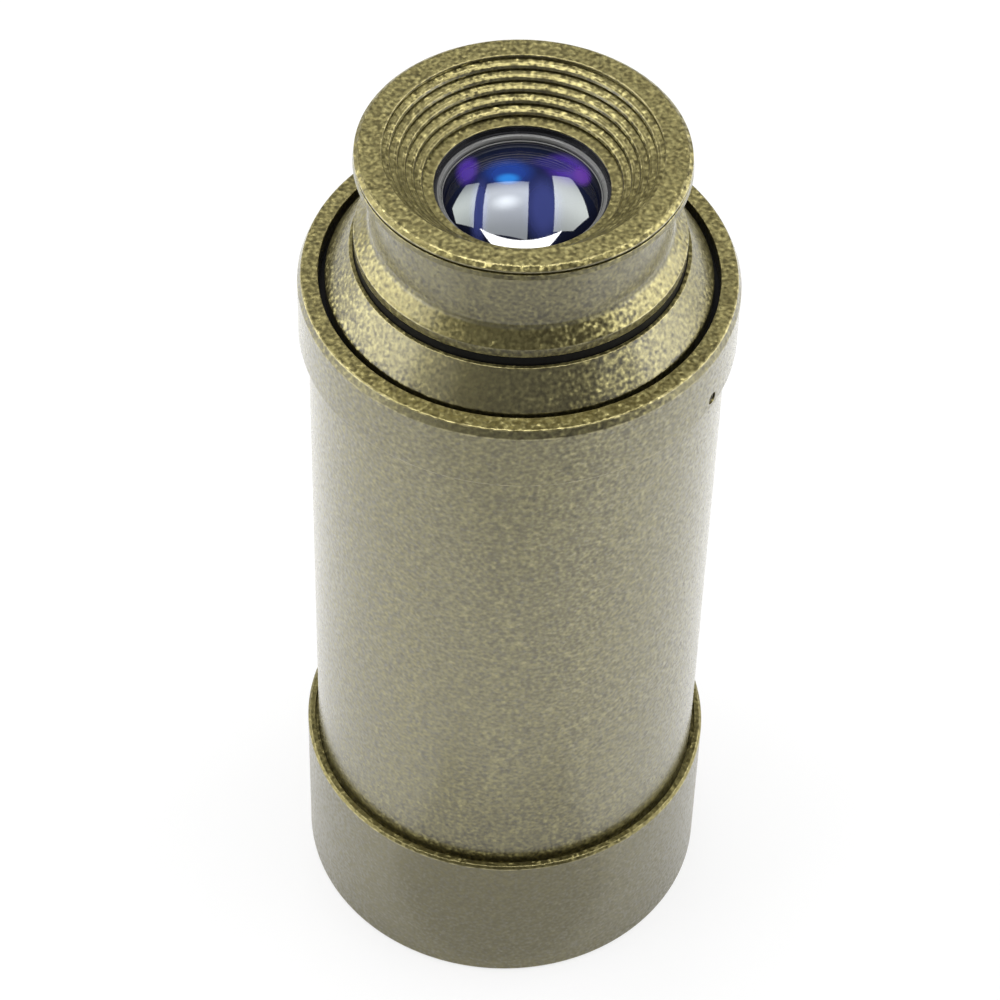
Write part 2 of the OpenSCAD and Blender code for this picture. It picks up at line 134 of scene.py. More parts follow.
# %% A finish, which is a shader tree being wired up
class Finish:
    """The nodes of a new material, or of the tree that is given."""

    def __init__(self, name, tree=None):
        if tree is None:
            self.material = bpy.data.materials.new(name)
            self.material.use_nodes = True
            tree = self.material.node_tree
        self.tree = tree
        self.tree.nodes.clear()

    def node(self, kind, settings=None, values=None, out=0):
        """Add a node and return the wire of one output, or a list of wires for several."""
        node = self.tree.nodes.new(kind)
        for name, value in (settings or {}).items():
            setattr(node, name, value)
        for key, value in (values or {}).items():
            socket = self._find(node.inputs, key)
            if isinstance(value, Wire):
                self.tree.links.new(value.socket, socket)
            elif socket.type == "RGBA" and len(value) == 3:
                socket.default_value = (*value, 1)
            else:
                socket.default_value = value
        if isinstance(out, tuple):
            return [Wire(self, self._find(node.outputs, key)) for key in out]
        return Wire(self, self._find(node.outputs, out))

    @staticmethod
    def _find(sockets, key):
        if isinstance(key, int):
            return sockets[key]
        return next(s for s in sockets if key in (s.identifier, s.name))

    def mix(self, a, b, factor):
        return self.node(
            "ShaderNodeMix",
            {"data_type": "RGBA"},
            {"Factor_Float": factor, "A_Color": a, "B_Color": b},
            "Result_Color",
        )

    def ramp(self, factor, *stops):
        """A colour that runs through the stops, each a place and a colour, as the factor rises."""
        colour = self.node("ShaderNodeValToRGB", {}, {0: factor})
        elements = colour.socket.node.color_ramp.elements
        while len(elements) < len(stops):
            elements.new(0.5)
        for element, (position, tint) in zip(elements, stops):
            element.position, element.color = position, (*tint, 1)
        return colour

    def channel(self, colour, name):
        return self.node("ShaderNodeSeparateColor", {}, {0: colour}, name)

    def vector(self, operation, *values):
        return self.node("ShaderNodeVectorMath", {"operation": operation}, dict(enumerate(values)))

    def scaled(self, vector, factor):
        return self.node(
            "ShaderNodeVectorMath", {"operation": "SCALE"}, {0: vector, "Scale": factor}
        )

    def length(self, vector):
        return self.node("ShaderNodeVectorMath", {"operation": "LENGTH"}, {0: vector}, "Value")

    def part(self, vector, axis):
        return self.node("ShaderNodeSeparateXYZ", {}, {0: vector}, axis)

    def place(self, stretch=(1, 1, 1)):
        """Where a point lies on the object, in millimetres."""
        at = self.node("ShaderNodeTexCoord", out="Object")
        return self.vector("MULTIPLY", at, [s / MM for s in stretch])

    def from_axis(self):
        """The distance from the line of sight, in millimetres."""
        return self.length(self.vector("MULTIPLY", self.place(), (1, 1, 0)))

    def marked(self, name):
        """A number that the lathe wrote on the mesh."""
        return self.node("ShaderNodeAttribute", {"attribute_name": name}, out="Fac")

    def noise(self, at, per_mm, detail=2.0, roughness=0.5, out=0):
        return self.node(
            "ShaderNodeTexNoise",
            {"noise_dimensions": "3D"},
            {"Vector": at, "Scale": per_mm, "Detail": detail, "Roughness": roughness},
            out,
        )

    def cells(self, at, per_mm):
        """The distance from the middle of a cell, and the random colour of that cell."""
        out = ("Distance", "Color")
        return self.node("ShaderNodeTexVoronoi", {}, {"Vector": at, "Scale": per_mm}, out)

    def bump(self, height, depth_mm, strength, normal=None):
        values = {"Height": height, "Distance": depth_mm * MM, "Strength": strength}
        if normal is not None:
            values["Normal"] = normal
        return self.node("ShaderNodeBump", {}, values)

    def glow(self, strength, colour=(1, 1, 1)):
        return self.node("ShaderNodeEmission", {}, {"Color": colour, "Strength": strength})

    def surface(self, **sockets):
        """A lit surface. Words in a socket's name are joined by an underscore here."""
        values = {name.replace("_", " "): value for name, value in sockets.items()}
        return self.node("ShaderNodeBsdfPrincipled", {}, values)

    def close(self, shader, kind="ShaderNodeOutputMaterial"):
        """Wire the last shader to the output of the tree."""
        out = self.tree.nodes.new(kind)
        self.tree.links.new(shader.socket, out.inputs["Surface"])


print("shader tools ready")

# %% [markdown]
# ** Bronze enamel.** The real finish is a metallic powder enamel: olive-gold specks lie at slightly different angles in a clear resin. A flat brown with a noise over it would look like stone, because it wouldn't glitter. So a fine noise sets the tone of the specks, and its red, green and blue tilt the normal, which makes the specks flash or go dark with the lights. The cells of a Voronoi texture add some harder flakes. Faces that look up are painted brighter and yellower, a painted top light, and have less resin over them. The walls are painted a little darker, a painted shade, and their thick resin mirrors the white sheet. The rounded edges, marked on the mesh when it is turned, are painted brighter gold, partly as wear and partly as a painted highlight. The bezel is marked too: its enamel has a finer grain, and it is painted darker, a painted shade for the darker sheet that it mirrors near the foot.


# %% Bronze enamel
SPECKS_PER_MM, FLAKES_PER_MM, DUST_PER_MM = 2.6, 4.0, 6.0
SPECK_TILT, FLAKE_TILT = 0.85, 0.12
# the faces that look up take a brighter, yellower tone: a painted top light
WALL_TONE, PAINTED_TOP_LIGHT_TONE = (0.200, 0.176, 0.078), (0.330, 0.292, 0.132)
# the darker tone serves the random mottle and the bezel's painted shade; the worn tone paints edge
# wear and a painted highlight
MOTTLE_AND_SHADE_TONE, WORN_GLINT_TONE = (0.108, 0.094, 0.037), (0.80, 0.71, 0.36)
# the walls are painted a little darker than the faces that look up: a painted shade
PAINTED_WALL_SHADE = (0.91, 0.92, 0.85)


def bronze_enamel():
    f = Finish("bronze_enamel")
    at = f.place()
    flake_distance, flake = f.cells(at, FLAKES_PER_MM)
    speck, speck_colour = f.noise(at, SPECKS_PER_MM, 0.6, out=("Fac", "Color"))
    facing = f.node("ShaderNodeNewGeometry", {}, {}, "Normal")
    calm, up = f.marked("calm"), f.part(facing, "Z").clip(0.40, 0.85)
    speckled = f.ramp(
        (speck - 0.5) * 1.3 + f.channel(flake, "Red") * 0.17 + 0.42,
        (0.10, (0.060, 0.050, 0.018)),
        (0.36, (0.132, 0.113, 0.042)),
        (0.56, (0.205, 0.180, 0.072)),
        (0.78, (0.305, 0.270, 0.112)),
        (0.95, (0.420, 0.375, 0.165)),
    )
    wall = f.mix(speckled, WALL_TONE, calm * 0.35 + 0.18)
    # painted shade: the walls a little darker
    wall = f.vector("MULTIPLY", wall, PAINTED_WALL_SHADE)
    # painted top light: faces that look up brighter and yellower
    painted_top_light = f.mix(f.scaled(speckled, 1.60), PAINTED_TOP_LIGHT_TONE, 0.25)
    mottle = f.noise(at, 0.8, 3.0).clip(0.20, 0.80)
    # rounded edges painted brighter gold: partly wear, partly a painted highlight
    worn_and_glinting = f.marked("wear") * f.noise(at, 1.1, 3.0).clip(0.35, 0.62)
    colour = f.mix(wall, painted_top_light, up)
    # random mottle, and the marked bezel painted darker: a painted shade for the darker sheet it
    # mirrors near its foot
    colour = f.mix(colour, MOTTLE_AND_SHADE_TONE, mottle * 0.10 + calm * 0.55)
    colour = f.mix(colour, WORN_GLINT_TONE, worn_and_glinting * 0.32)
    tilts = []
    for random_colour, tilt in ((flake, FLAKE_TILT), (speck_colour, SPECK_TILT)):
        tilts.append(f.scaled(f.vector("SUBTRACT", random_colour, (0.5, 0.5, 0.5)), tilt))
    tilted = f.vector("NORMALIZE", f.vector("ADD", facing, f.vector("ADD", *tilts)))
    grain = flake_distance * 0.6 + f.noise(at, DUST_PER_MM, 2.0) * 0.4
    f.close(f.surface(
        Base_Color=colour,
        Metallic=0.92,
        Roughness=f.channel(flake, "Green") * 0.10 + 0.32,
        Normal=f.bump(grain, 0.012, 0.5, tilted),
        Coat_Weight=1.0 - up * 0.95 - calm * 0.25,
        Coat_Roughness=0.22,
        Coat_IOR=1.75,
    ))
    return f.material


BRONZE = bronze_enamel()
print("made", BRONZE.name)

# %% [markdown]
# **Black finishes.** The sliding tubes and the rings inside are black anodised aluminium: dark, a
# little blue, with the fine rings that a lathe tool leaves and faint streaks where the draws rub.
# The rings are a noise squeezed along the height, so it varies only up and down, and the rounded
# edges are painted grey, partly as wear and partly as a painted highlight. The guide bushes are matt
# black plastic, the grub screw is blackened steel, and the stop rings inside are bare aluminium.


# %% Black anodised aluminium, black plastic, blackened steel and bare aluminium
TURNED_RINGS, RUBBED_STREAKS = (0.02, 0.02, 1), (1, 1, 0.03)


def black_anodised():
    f = Finish("black_anodised")
    rings = f.noise(f.place(TURNED_RINGS), 9.0, 3.0, 0.7)
    rub = f.noise(f.place(RUBBED_STREAKS), 1.4, 3.0).clip(0.55, 0.75)
    colour = f.mix((0.008, 0.008, 0.010), (0.040, 0.040, 0.045), rub * 0.5 + rings * 0.2)
    f.close(f.surface(
        # rounded edges painted grey: partly wear, partly a painted highlight
        Base_Color=f.mix(colour, (0.16, 0.16, 0.155), f.marked("wear") * 0.85),
        Metallic=0.1,
        Roughness=rings * 0.14 + 0.20 - rub * 0.06,
        Normal=f.bump(rings, 0.004, 0.35),
        Specular_IOR_Level=0.6,
    ))
    return f.material


def black_plastic():
    f = Finish("black_plastic")
    at = f.place()
    grain, dust = f.noise(at, 6.0, 3.0, 0.6), f.noise(at, 0.8, 4.0).clip(0.58, 0.80)
    f.close(f.surface(
        Base_Color=f.mix((0.004, 0.004, 0.004), (0.024, 0.023, 0.021), dust * 0.4 + grain * 0.1),
        Specular_IOR_Level=0.12,
        Roughness=grain * 0.2 + 0.45,
        Normal=f.bump(grain, 0.01, 0.4),
    ))
    return f.material


def blackened_steel():
    f = Finish("blackened_steel")
    scale = f.noise(f.place(), 5.0, 4.0)
    f.close(f.surface(
        Base_Color=f.mix((0.130, 0.122, 0.105), (0.300, 0.280, 0.230), scale.clip(0.45, 0.75)),
        Metallic=0.9,
        Roughness=scale * 0.25 + 0.30,
        Normal=f.bump(scale, 0.004, 0.4),
    ))
    return f.material


def bare_aluminium():
    f = Finish("bare_aluminium")
    rings = f.noise(f.place(TURNED_RINGS), 8.0, 3.0, 0.7)
    f.close(f.surface(
        Base_Color=f.mix((0.62, 0.62, 0.64), (0.80, 0.80, 0.82), rings),
        Metallic=1.0,
        Roughness=rings * 0.2 + 0.25,
        Normal=f.bump(rings, 0.005, 0.4),
    ))
    return f.material


BLACK, PLASTIC, STEEL, ALUMINIUM = (
    make() for make in (black_anodised, black_plastic, blackened_steel, bare_aluminium)
)
print("made", BLACK.name, PLASTIC.name, STEEL.name, ALUMINIUM.name)

# %% [markdown]
# ** Coated glass.** The eye lens is painted almost black at its edge and deep navy in its middle, for the black tube seen through it. Over that ramp lie painted reflections of the coated lenses below, as blurred patches: a blue one with a light core, violet ones at both sides, and navy ones towards the viewer. Each patch is an oval spot that is mixed over a ramp from the middle to the edge. The panes of white in the lens aren't painted: they are the studio's lamps, reflected by the smooth coat.


# %% Glass
PAINTED_REFLECTIONS = {
    # place and half size in mm: the colour of the painted reflection
    (-1.3, 1.7, 2.5, 2.1): (0.006, 0.018, 0.100),
    (-1.3, 0.75, 1.2, 0.8): (0.010, 0.080, 0.250),
    (-4.9, 2.6, 1.1, 2.4): (0.024, 0.009, 0.110),
    (3.9, 3.0, 2.2, 2.7): (0.024, 0.010, 0.108),
    (5.2, 2.4, 0.9, 1.6): (0.042, 0.012, 0.120),
    (2.6, 3.3, 2.2, 1.3): (0.006, 0.005, 0.050),
    (1.9, -2.5, 1.8, 4.0): (0.016, 0.020, 0.074),
    (-3.7, -2.5, 0.9, 4.0): (0.016, 0.020, 0.074),
}


def coated_glass():
    f = Finish("coated_glass")
    at = f.place()
    share = f.from_axis() / LENS_R + (f.noise(at, 0.30, 2.0) - 0.5) * 0.08
    # painted navy in the middle and almost black at the edge, for the dark tube seen through the lens
    colour = f.ramp(
        share,
        (0.00, (0.006, 0.008, 0.034)),
        (0.40, (0.004, 0.005, 0.020)),
        (0.68, (0.002, 0.003, 0.009)),
        (0.86, (0.001, 0.001, 0.003)),
    )
    # painted reflections of the coated lenses below, laid over the ramp
    for (x, y, wide, deep), tint in PAINTED_REFLECTIONS.items():
        away = f.vector("MULTIPLY", f.vector("SUBTRACT", at, (x, y, 0)), (1 / wide, 1 / deep, 0))
        colour = f.mix(colour, tint, (1 - f.length(away).clip(0.35, 1.15)) * 0.95)
    f.close(f.surface(
        Base_Color=colour,
        Roughness=f.noise(at, 0.9, 3.0) * 0.03 + 0.015,
        IOR=1.30,
        Transmission_Weight=0.15,
        Coat_Weight=1.0,
        Coat_Roughness=0.03,
        Coat_IOR=1.25,
    ))
    return f.material


def clear_glass():
    f = Finish("clear_glass")
    # the objective is painted in rings from the middle out, pale blue, violet and dark blue-grey: a
    # painted reflection of its coating
    colour = f.ramp(
        f.from_axis() / BEZEL_R,
        (0.0, (0.30, 0.42, 0.50)),
        (0.45, (0.24, 0.20, 0.42)),
        (0.8, (0.10, 0.16, 0.20)),
    )
    f.close(f.surface(
        Base_Color=colour,
        Roughness=f.noise(f.place(), 0.9, 3.0) * 0.03 + 0.015,
        IOR=1.6,
        Transmission_Weight=0.8,
        Coat_Weight=1.0,
        Coat_Roughness=0.01,
        Coat_IOR=1.6,
    ))
    return f.material


COATED, CLEAR = coated_glass(), clear_glass()
print("made", COATED.name, CLEAR.name)

# %% [markdown]
# The record says which finish each CAD node has, so the pieces below ask it by their node's name.

# %% Which finish goes where
FINISH_OF = {
    "bronze_enamel": BRONZE,
    "black_anodised": BLACK,
    "bare_aluminium": ALUMINIUM,
    "black_plastic": PLASTIC,
    "blackened_steel": STEEL,
    "clear_glass": CLEAR,
    "coated_glass": COATED,
}
SLOT_OF = {row["node"]: row["material_slot"] for row in frame["record"]["subparts"]}
print("slots:", ", ".join(sorted(set(SLOT_OF.values()))))

# %% [markdown]
# ** The lathe.** A turned piece is an outline spun round the line of sight. Blender's Screw and Bevel modifiers could do it, but then the flat faces next to a small rounding get smudged highlights. Here each corner of the outline carries its own rounding, the arc is worked out, and the true normals of the flats and arcs are handed to the mesh. The roundings that face outwards are also marked, and the finishes paint them as wear and as a painted highlight.


# %% Round the corners of an outline
# degrees in a step of an arc, the share of a side that roundings may take, and a length of nothing
ARC_STEP, SIDE_SHARE, TINY = 15, 0.98, 1e-6


def rounded(corners, closed=True):
    """Cut an outline into pieces: two points each, the normals at both, and the mark for wear and a
    painted highlight.

    A corner is a radius, a height and a rounding in mm.
    """
    count, path = len(corners), []
    for i, (r, z, rounding) in enumerate(corners):
        here = Vector((r, z))
        if rounding == 0 or (not closed and i in (0, count - 1)):
            path.append((here, here, None, 0.0))
            continue
        before, after = (Vector(corners[j % count][:2]) - here for j in (i - 1, i + 1))
        u, v = before.normalized(), after.normalized()
        half = math.acos(max(-1.0, min(1.0, u.dot(v)))) / 2
        reach = rounding / math.tan(half)
        for step, side in ((-1, before), (1, after)):  # two roundings share the side between them
            beside = corners[(i + step) % count][2]
            reach = min(reach, side.length * SIDE_SHARE * rounding / (rounding + beside))
        radius = reach * math.tan(half)
        centre = here + (u + v).normalized() * (radius / math.sin(half))
        path.append((here + u * reach, here + v * reach, centre, math.pi - 2 * half))
    pieces = []
    for i in range(count if closed else count - 1):
        start, end, centre, turn = path[i]
        if centre is not None:
            steps = max(2, math.ceil(math.degrees(turn) / ARC_STEP))
            first, last = start - centre, end - centre
            side = 1 if first.x * last.y - first.y * last.x > 0 else -1
            spots = []
            for k in range(steps + 1):
                a = side * turn * k / steps
                arm = Vector((
                    first.x * math.cos(a) - first.y * math.sin(a),
                    first.x * math.sin(a) + first.y * math.cos(a),
                ))
                spots.append((centre + arm, arm.normalized() * side))
            wear = 1.0 if side > 0 else 0.0
            pieces += [(a[0], b[0], a[1], b[1], wear) for a, b in zip(spots, spots[1:])]
        start, end = path[i][1], path[(i + 1) % count][0]
        if (end - start).length > TINY:
            along = (end - start).normalized()
            out = Vector((along.y, -along.x))
            pieces.append((start, end, out, out, 0.0))
    return pieces


# %% [markdown]
# The outline runs anticlockwise when it is drawn with the radius to the right and the height
# upwards, so that the outside of the piece is on its right hand. Spinning it makes a ring of
# quads for each piece of outline, and a fan of triangles where the outline meets the axis. Some
# pieces are enamelled outside and black inside, so a test can say which faces are blackened.


# %% Spin an outline into a mesh
TURNS = 192


def turn_piece(name, body, node, corners, closed=True, blackened=None, calm=0.0):
    """Make the piece that rides on a body and stands for a CAD node, with that node's finish."""
    verts, faces, normals, wear_and_glint_marks, middles, index = [], [], [], [], [], {}

    def vertex(point, k):
        key = (round(point.x, 5), round(point.y, 5), 0 if point.x < TINY else k % TURNS)
        if key not in index:
            index[key] = len(verts)
            a = 2 * math.pi * key[2] / TURNS
            verts.append((point.x * MM * math.cos(a), point.x * MM * math.sin(a), point.y * MM))
        return index[key]

    def normal(n, k):
        a = 2 * math.pi * k / TURNS
        return (n.x * math.cos(a), n.x * math.sin(a), n.y)

    for start, end, n0, n1, wear in rounded(corners, closed):
        for k in range(TURNS):
            ring = [(start, k, n0), (start, k + 1, n0), (end, k + 1, n1), (end, k, n1)]
            if start.x < TINY:
                ring = [ring[0], ring[2], ring[3]]
            elif end.x < TINY:
                ring = ring[:3]
            faces.append([vertex(p, j) for p, j, _ in ring])
            normals += [normal(n, j) for _, j, n in ring]
            wear_and_glint_marks += [wear] * len(ring)
            middles.append((start + end) / 2)
    mesh = bpy.data.meshes.new(name)
    mesh.from_pydata(verts, [], faces)
    mesh.polygons.foreach_set("use_smooth", [True] * len(faces))
    mesh.normals_split_custom_set(normals)
    # outward roundings carry the mark for wear and a painted highlight
    mesh.attributes.new("wear", "FLOAT", "CORNER").data.foreach_set("value", wear_and_glint_marks)
    # the bezel's mark: a finer grain, and a painted shade
    mesh.attributes.new("calm", "FLOAT", "POINT").data.foreach_set("value", [calm] * len(verts))
    mesh.materials.append(FINISH_OF[SLOT_OF[node]])
    if blackened is not None:
        mesh.materials.append(BLACK)
        for polygon, middle in zip(mesh.polygons, middles):
            polygon.material_index = 1 if blackened(middle.x, middle.y) else 0
    piece = bpy.data.objects.new(name, mesh)
    bpy.context.collection.objects.link(piece)
    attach(piece, body)
    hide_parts(node)
    print(f"{name}: {len(faces)} faces")
    return piece


# %% [markdown]
# **Objective bezel.** The proud ring at the foot is one turned part: a chamfered mouth for the
# objective, a bore for the lenses, and a socket for the barrel. Its top edge is a narrow land with
# a bevel outside and a groove inside, and the groove is the dark line at the barrel's foot.

# %% Turn the bezel
THREAD_GAP = 0.05
MOUTH_R, MOUTH_CHAMFER, LENS_SEAT, LENS_BORE_R = 15.0, 1.5, 3.0, 15.8
SOCKET_R = BARREL_R + THREAD_GAP
BEZEL_BEVEL, BEZEL_LAND, GROOVE_DEPTH, FOOT_EDGE = 0.25, 0.5, 0.8, 0.3
GROOVE_R = BEZEL_R - BEZEL_BEVEL - BEZEL_LAND
turn_piece(
    "bezel",
    "barrel",
    "objective_bezel",
    [
        (MOUTH_R + MOUTH_CHAMFER, BEZEL_FOOT, 0.12),
        (BEZEL_R - FOOT_EDGE, BEZEL_FOOT, 0.15),
        (BEZEL_R, BEZEL_FOOT + FOOT_EDGE, 0.25),
        (BEZEL_R, BEZEL_TOP - BEZEL_BEVEL, 0.18),
        (BEZEL_R - BEZEL_BEVEL, BEZEL_TOP, 0.12),
        (GROOVE_R, BEZEL_TOP, 0.06),
        (GROOVE_R, BEZEL_TOP - GROOVE_DEPTH, 0.04),
        (SOCKET_R, BEZEL_TOP - GROOVE_DEPTH, 0),
        (SOCKET_R, BARREL_FOOT, 0),
        (LENS_BORE_R, BARREL_FOOT, 0.05),
        (LENS_BORE_R, LENS_SEAT, 0.05),
        (MOUTH_R, LENS_SEAT, 0.05),
        (MOUTH_R, MOUTH_CHAMFER, 0.1),
    ],
    blackened=lambda r, z: r < SOCKET_R - 0.01 and z > 0.9 * MOUTH_CHAMFER,
    # finer grain, and a painted shade for the darker sheet that the bezel mirrors
    calm=1.0,
)

# %% [markdown]
# **Barrel tube.** A plain thin tube. Its ends are hidden in the bezel and the collar, but it is
# turned whole, because a mesh that is cut off where it goes out of sight shows in other views.

# %% Turn the barrel
BARREL_WALL = 1.1
turn_piece(
    "barrel",
    "barrel",
    "barrel_tube",
    [
        (BARREL_R - BARREL_WALL, BARREL_FOOT, 0.05),
        (BARREL_R, BARREL_FOOT, 0.05),
        (BARREL_R, BARREL_TOP, 0.05),
        (BARREL_R - BARREL_WALL, BARREL_TOP, 0.05),
    ],
    blackened=lambda r, z: r < BARREL_R - BARREL_WALL / 2,
)

# %% [markdown]
# **End collar and its set screw.** The collar is the proud ring at the top of the barrel. A tiny
# grub screw low on its side locks it. Where the screw sits, how wide it is and which way it faces
# are read from the box of its CAD node.

# %% Where the set screw sits
screw_low, screw_high = (Vector(corner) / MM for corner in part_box("collar_set_screw"))
SCREW_MIDDLE = (screw_low + screw_high) / 2
SCREW_ANGLE = math.atan2(SCREW_MIDDLE.y, SCREW_MIDDLE.x)
SCREW_OUT = Vector((math.cos(SCREW_ANGLE), math.sin(SCREW_ANGLE), 0))
SCREW_R, SCREW_LENGTH = (screw_high.z - screw_low.z) / 2, 1.25
print(f"set screw {SCREW_R * 2:.2f} mm across at {math.degrees(SCREW_ANGLE):.0f} degrees")


def screw_frame(along):
    """A place on the set screw's axis, with local Z pointing out of the collar."""
    spot = SCREW_OUT * (SCREW_MIDDLE.xy.length + along) * MM + Vector((0, 0, SCREW_MIDDLE.z * MM))
    return Matrix.Translation(spot) @ SCREW_OUT.to_track_quat("Z", "Y").to_matrix().to_4x4()


# %% [markdown]
# A steep bevel leads up to the collar's flat, and a recess in the flat takes the foot of the next
# draw. The hole for the screw is drilled by a Boolean with a cylinder on the screw's axis. A
# Boolean drops the normals that the lathe gave, and a Weighted Normal modifier brings clean ones
# back.

# %% Turn the collar and drill it
COLLAR_BEVEL, COLLAR_BEVEL_HEIGHT, COLLAR_EDGE = 0.35, 0.8, 0.15
COLLAR_MOUTH_R, RECESS = CONE_R + 0.6, 1.9
collar = turn_piece(
    "end_collar",
    "barrel",
    "barrel_end_collar",
    [
        (SOCKET_R, COLLAR_FOOT, 0.04),
        (COLLAR_R - COLLAR_EDGE, COLLAR_FOOT, 0.08),
        (COLLAR_R, COLLAR_FOOT + COLLAR_EDGE, 0.15),
        (COLLAR_R, COLLAR_TOP - COLLAR_BEVEL_HEIGHT, 0.45),
        (COLLAR_R - COLLAR_BEVEL, COLLAR_TOP, 0.22),
        (COLLAR_MOUTH_R, COLLAR_TOP, 0.10),
        (COLLAR_MOUTH_R, COLLAR_TOP - RECESS, 0.05),
        (SOCKET_R, COLLAR_TOP - RECESS, 0.05),
    ],
)
DRILL_SIDES, DRILL_LENGTH, DRILL_OUTWARDS = 48, 3, 0.8
drill_mesh = bmesh.new()
bmesh.ops.create_cone(
    drill_mesh, cap_ends=True, segments=DRILL_SIDES, depth=DRILL_LENGTH * MM,
    radius1=(SCREW_R + THREAD_GAP) * MM, radius2=(SCREW_R + THREAD_GAP) * MM,
    matrix=screw_frame(DRILL_OUTWARDS),
)
drill = bpy.data.objects.new("drill", bpy.data.meshes.new("drill"))
drill_mesh.to_mesh(drill.data)
bpy.context.collection.objects.link(drill)
cut = collar.modifiers.new("drill", "BOOLEAN")
cut.operation, cut.object, cut.solver = "DIFFERENCE", drill, "EXACT"
bpy.context.view_layer.update()
drilled = collar.evaluated_get(bpy.context.evaluated_depsgraph_get())
collar.data = bpy.data.meshes.new_from_object(drilled)
collar.modifiers.clear()
bpy.data.objects.remove(drill)
collar.data.set_sharp_from_angle(angle=math.radians(32))
neat = collar.modifiers.new("clean normals", "WEIGHTED_NORMAL")
neat.keep_sharp, neat.weight = True, 80
print("collar after drilling:", len(collar.data.polygons), "faces")

# %% [markdown]
# The screw itself is a short pin with a rounded rim and a hexagon socket. Each point of the round
# rim has a partner on the hexagon, so plain quads join the circle to the six flats.

# %% Make the set screw
SIDES, SOCKET_FLAT, SOCKET_DEPTH, SOCKET_CHAMFER = 48, 0.22, 0.4, 0.03
TIP, HEAD, TIP_CHAMFER = -SCREW_LENGTH / 2, SCREW_LENGTH / 2, 0.1
HEAD_ROUNDING = ((0.08, 0), (0.02, 0.03), (0, 0.09))  # below the head's face, in from its side


def hexagon_radius(angle):
    step = math.pi / 3
    return SOCKET_FLAT / math.cos((angle + step / 2) % step - step / 2)


rings = [
    (TIP, lambda a: SCREW_R - TIP_CHAMFER),
    (TIP + TIP_CHAMFER, lambda a: SCREW_R),
    *((HEAD - down, lambda a, inwards=inwards: SCREW_R - inwards) for down, inwards in HEAD_ROUNDING),
    (HEAD, lambda a: hexagon_radius(a) + SOCKET_CHAMFER),
    (HEAD - SOCKET_CHAMFER, hexagon_radius),
    (HEAD - SOCKET_DEPTH, hexagon_radius),
]
screw_mesh, loops = bmesh.new(), []
for height, radius in rings:
    loop = []
    for k in range(SIDES):
        a = 2 * math.pi * k / SIDES
        spot = (radius(a) * math.cos(a) * MM, radius(a) * math.sin(a) * MM, height * MM)
        loop.append(screw_mesh.verts.new(spot))
    loops.append(loop)
for low, high in zip(loops, loops[1:]):
    for k in range(SIDES):
        j = (k + 1) % SIDES
        screw_mesh.faces.new((low[k], low[j], high[j], high[k]))
screw_mesh.faces.new(list(reversed(loops[0])))
screw_mesh.faces.new(loops[-1])
screw_mesh.transform(screw_frame(0))
screw = bpy.data.objects.new("set_screw", bpy.data.meshes.new("set_screw"))
screw_mesh.to_mesh(screw.data)
bpy.context.collection.objects.link(screw)
screw.data.materials.append(STEEL)
screw.data.set_sharp_from_angle(angle=math.radians(35))
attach(screw, "barrel")
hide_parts("collar_set_screw")
print("set screw:", len(screw.data.polygons), "faces")

# %% [markdown]
# **The middle draw's end collar** is the speckled cone inside the barrel's collar. It has a short
# straight foot, then it narrows to a thin lip round the black bush.

# %% Turn the cone
CONE_FOOT_HEIGHT, BUSH_NECK_WALL, CONE_LIP, BUSH_FLANGE_HEIGHT = 1.68, 0.4, 0.35, 2.2
MIDDLE_BORE_R = MIDDLE_TUBE_R + THREAD_GAP
BUSH_BORE_R = EYE_TUBE_R + BUSH_NECK_WALL + THREAD_GAP
turn_piece(
    "cone_collar",
    "middle_draw",
    "middle_draw_end_collar",
    [
        (MIDDLE_BORE_R, CONE_FOOT, 0.03),
        (CONE_R, CONE_FOOT, 0.06),
        (CONE_R, CONE_FOOT + CONE_FOOT_HEIGHT, 0.30),
        (BUSH_BORE_R + CONE_LIP, CONE_TOP, 0.10),
        (BUSH_BORE_R, CONE_TOP, 0.05),
        (BUSH_BORE_R, CONE_FOOT + BUSH_FLANGE_HEIGHT, 0),
        (MIDDLE_BORE_R, CONE_FOOT + BUSH_FLANGE_HEIGHT, 0),
    ],
)

# %% [markdown]
# **Eyepiece housing.** One turned part again: a flange that seats on the black bush, a bright
# chamfer, a straight neck, a cove that swells out under the rim, and a band with a fine groove
# above it. Below the flange a spigot and a nose go into the eye draw, and inside there is a shelf
# for the lens. They are in the outline too, although they never show.

# %% Turn the housing
FLANGE_HEIGHT, FLANGE_EDGE, CHAMFER_HEIGHT, NECK_STEP = 1.1, 0.2, 1.0, 0.2
FLANGE_R, NECK_R = EYE_TUBE_R + 0.4, EYE_TUBE_R - 1.0
COVE_HEIGHT, COVE_STEPS, COVE_STEP_ANGLE = 1.3, 9, 9
BAND_HEIGHT, BAND_R, BAND_LEAN, RIM_GROOVE = 0.7, CUP_R + 0.1, 0.13, 0.2
PLUG_BORE_R, FIELD_BORE_R, SHELF_R, SHELF_HEIGHT = NECK_R - 0.85, LENS_R + 0.35, LENS_R - 0.6, 0.8
NOSE_WALL, SPIGOT_LENGTH, SPIGOT_R = 1.6, 5.5, EYE_TUBE_R - 0.8 - THREAD_GAP
FLANGE_TOP = EYE_TUBE_TOP + FLANGE_HEIGHT
BAND_FOOT = HOUSING_TOP - BAND_HEIGHT
COVE_FOOT = BAND_FOOT - COVE_HEIGHT
cove = []
for k in range(1, COVE_STEPS + 1):
    a = math.radians(COVE_STEP_ANGLE * k)
    cove_r = NECK_R + (BAND_R - NECK_R) * (1 - math.cos(a))
    cove.append((cove_r, COVE_FOOT + COVE_HEIGHT * math.sin(a), 0.6))
